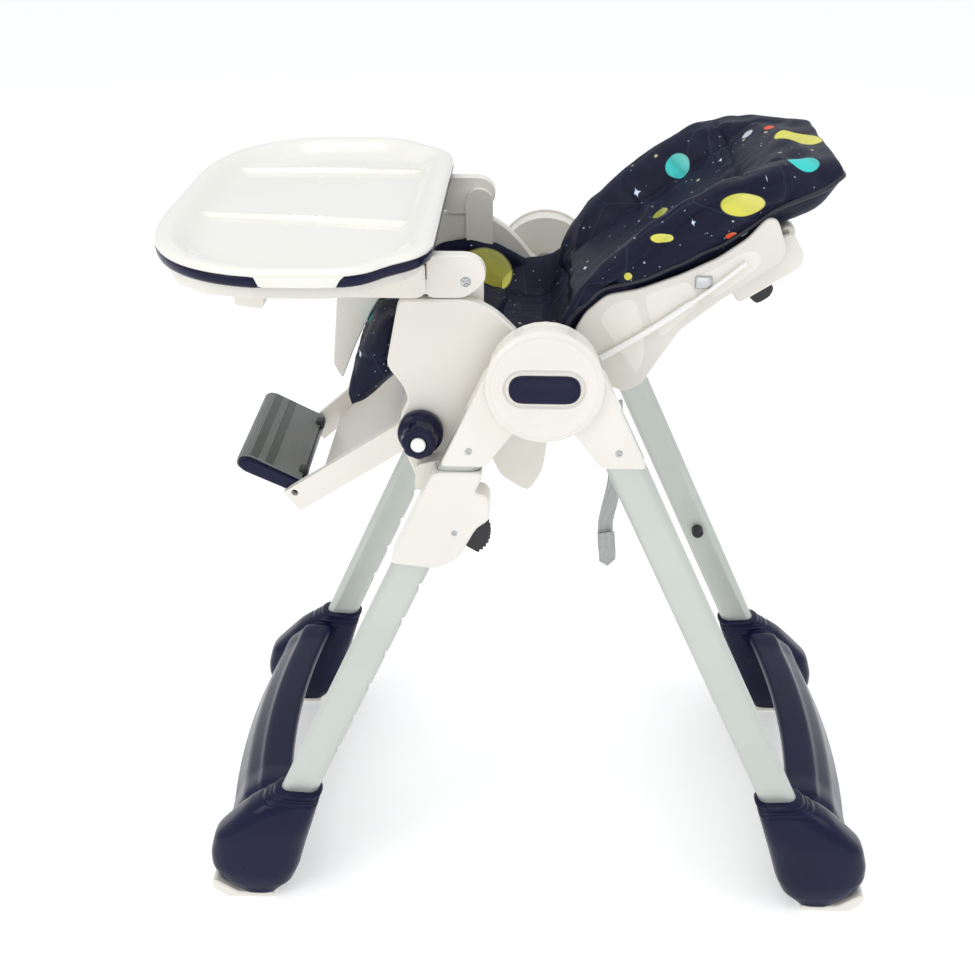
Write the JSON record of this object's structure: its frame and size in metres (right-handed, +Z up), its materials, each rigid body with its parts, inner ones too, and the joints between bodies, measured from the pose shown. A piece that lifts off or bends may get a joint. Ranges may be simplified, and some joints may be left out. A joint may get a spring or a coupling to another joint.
{
  "type": "baby high chair",
  "caption": "Folding baby high chair with a height-adjustable padded seat, reclining back, leg rest with foot plate, and a flip-up feeding tray.",
  "frame": {"origin": "centre of the footprint on the floor, under the chair's middle", "axes": "+Z up, the child faces -Y, +X is the child's left, the hub axis runs along X at 0.694 m"},
  "size_m": [0.569, 0.8243, 0.915],
  "materials": {
    "cream_plastic": "smooth satin moulded plastic",
    "navy_plastic": "glossy moulded plastic",
    "silver_tube": "silver-grey powder coat on oval steel tube",
    "tray_plastic": "glossy off-white plastic",
    "black_plastic": "matt black plastic",
    "white_plastic": "smooth white plastic",
    "seat_fabric": "slightly shiny coated cloth with a printed space pattern",
    "grey_webbing": "woven light-grey webbing",
    "grey_plastic": "matt grey plastic",
    "steel": "bright steel pin"
  },
  "bodies": {
    "front_frame": {"front_leg_left": "silver_tube", "front_leg_right": "silver_tube", "front_hub_bracket_left": "cream_plastic", "front_hub_bracket_right": "cream_plastic", "front_foot_left": "navy_plastic", "front_foot_right": "navy_plastic", "front_glide_left": "cream_plastic", "front_glide_right": "cream_plastic", "front_crossbar": "navy_plastic", "hub_axle_left": "steel", "hub_axle_right": "steel", "hub_cover_left": "cream_plastic", "hub_cover_right": "cream_plastic"},
    "rear_frame": {"rear_leg_left": "silver_tube", "rear_leg_right": "silver_tube", "rear_hub_bracket_left": "cream_plastic", "rear_hub_bracket_right": "cream_plastic", "rear_foot_left": "navy_plastic", "rear_foot_right": "navy_plastic", "rear_glide_left": "cream_plastic", "rear_glide_right": "cream_plastic", "rear_crossbar": "navy_plastic", "tray_peg_left": "black_plastic", "tray_peg_right": "black_plastic"},
    "fold_button_left": {"fold_button_left": "navy_plastic"},
    "fold_button_right": {"fold_button_right": "navy_plastic"},
    "seat": {"height_slider_left": "cream_plastic", "height_slider_right": "cream_plastic", "side_panel_left": "cream_plastic", "side_panel_right": "cream_plastic", "seat_pan": "cream_plastic", "seat_cushion": "seat_fabric", "leg_pad": "seat_fabric", "back_pivot_rod": "steel", "harness_buckle": "grey_plastic", "strap_tail": "grey_webbing"},
    "height_lever_left": {"height_lever_left": "black_plastic"},
    "height_lever_right": {"height_lever_right": "black_plastic"},
    "back": {"back_shell": "cream_plastic", "back_cushion": "seat_fabric", "recline_housing": "cream_plastic", "recline_rod_left": "white_plastic", "recline_rod_right": "white_plastic"},
    "recline_lever": {"recline_lever": "black_plastic"},
    "leg_rest": {"leg_rest_panel": "cream_plastic", "leg_rest_knob_left": "navy_plastic", "leg_rest_knob_right": "navy_plastic"},
    "leg_rest_button_left": {"leg_rest_button_left": "white_plastic"},
    "leg_rest_button_right": {"leg_rest_button_right": "white_plastic"},
    "foot_rest": {"foot_rest": "navy_plastic"},
    "tray_arms": {"tray_arm_left": "cream_plastic", "tray_arm_right": "cream_plastic"},
    "tray": {"tray_base": "cream_plastic", "tray_rim": "navy_plastic", "crotch_post": "cream_plastic"},
    "tray_insert": {"tray_insert": "tray_plastic"},
    "tray_latch_left": {"tray_latch_left": "cream_plastic"},
    "tray_latch_right": {"tray_latch_right": "cream_plastic"}
  },
  "joints": [
    {"name": "fold", "type": "hinge", "parent": "front_frame", "child": "rear_frame", "pos_m": [0, 0, 0.694], "axis": [-1, 0, 0], "range_deg": [0, 45]},
    {"name": "fold_button_left_press", "type": "slide", "parent": "front_frame", "child": "fold_button_left", "axis": [-1, 0, 0], "range_m": [0, 0.005], "stiffness_N_per_m": 400},
    {"name": "height_lever_left_squeeze", "type": "hinge", "parent": "seat", "child": "height_lever_left", "pos_m": [0.207, -0.079, 0.532], "axis": [-1, 0, 0], "range_deg": [0, 10], "stiffness_Nm_per_rad": 0.4},
    {"name": "leg_rest_button_left_press", "type": "slide", "parent": "leg_rest", "child": "leg_rest_button_left", "axis": [-1, 0, 0], "range_m": [0, 0.003], "stiffness_N_per_m": 300},
    {"name": "tray_latch_left_pull", "type": "slide", "parent": "tray", "child": "tray_latch_left", "axis": [0, -1, 0], "range_m": [0, 0.006], "stiffness_N_per_m": 400},
    {"name": "fold_button_right_press", "type": "slide", "parent": "front_frame", "child": "fold_button_right", "axis": [1, 0, 0], "range_m": [0, 0.005], "stiffness_N_per_m": 400},
    {"name": "height_lever_right_squeeze", "type": "hinge", "parent": "seat", "child": "height_lever_right", "pos_m": [-0.207, -0.079, 0.532], "axis": [-1, 0, 0], "range_deg": [0, 10], "stiffness_Nm_per_rad": 0.4},
    {"name": "leg_rest_button_right_press", "type": "slide", "parent": "leg_rest", "child": "leg_rest_button_right", "axis": [1, 0, 0], "range_m": [0, 0.003], "stiffness_N_per_m": 300},
    {"name": "tray_latch_right_pull", "type": "slide", "parent": "tray", "child": "tray_latch_right", "axis": [0, -1, 0], "range_m": [0, 0.006], "stiffness_N_per_m": 400},
    {"name": "seat_height", "type": "slide", "parent": "front_frame", "child": "seat", "axis": [0, -0.4147, -0.91], "range_m": [0, 0.25]},
    {"name": "backrest_recline", "type": "hinge", "parent": "seat", "child": "back", "pos_m": [0, 0.02, 0.672], "axis": [1, 0, 0], "range_deg": [0, 45]},
    {"name": "recline_lever_squeeze", "type": "slide", "parent": "back", "child": "recline_lever", "axis": [0, 0.8387, 0.5446], "range_m": [0, 0.01], "stiffness_N_per_m": 500},
    {"name": "leg_rest_tilt", "type": "hinge", "parent": "seat", "child": "leg_rest", "pos_m": [0, -0.134, 0.62], "axis": [1, 0, 0], "range_deg": [0, 40]},
    {"name": "foot_rest_fold", "type": "hinge", "parent": "leg_rest", "child": "foot_rest", "pos_m": [0, -0.29, 0.508], "axis": [-1, 0, 0], "range_deg": [0, 60]},
    {"name": "tray_flip", "type": "hinge", "parent": "seat", "child": "tray_arms", "pos_m": [0, -0.084, 0.788], "axis": [-1, 0, 0], "range_deg": [0, 60]},
    {"name": "tray_slide", "type": "slide", "parent": "tray_arms", "child": "tray", "axis": [0, -1, 0], "range_m": [0, 0.06]},
    {"name": "tray_insert_lift", "type": "slide", "parent": "tray", "child": "tray_insert", "axis": [0, 0, 1], "range_m": [0, 0.02]}
  ]
}
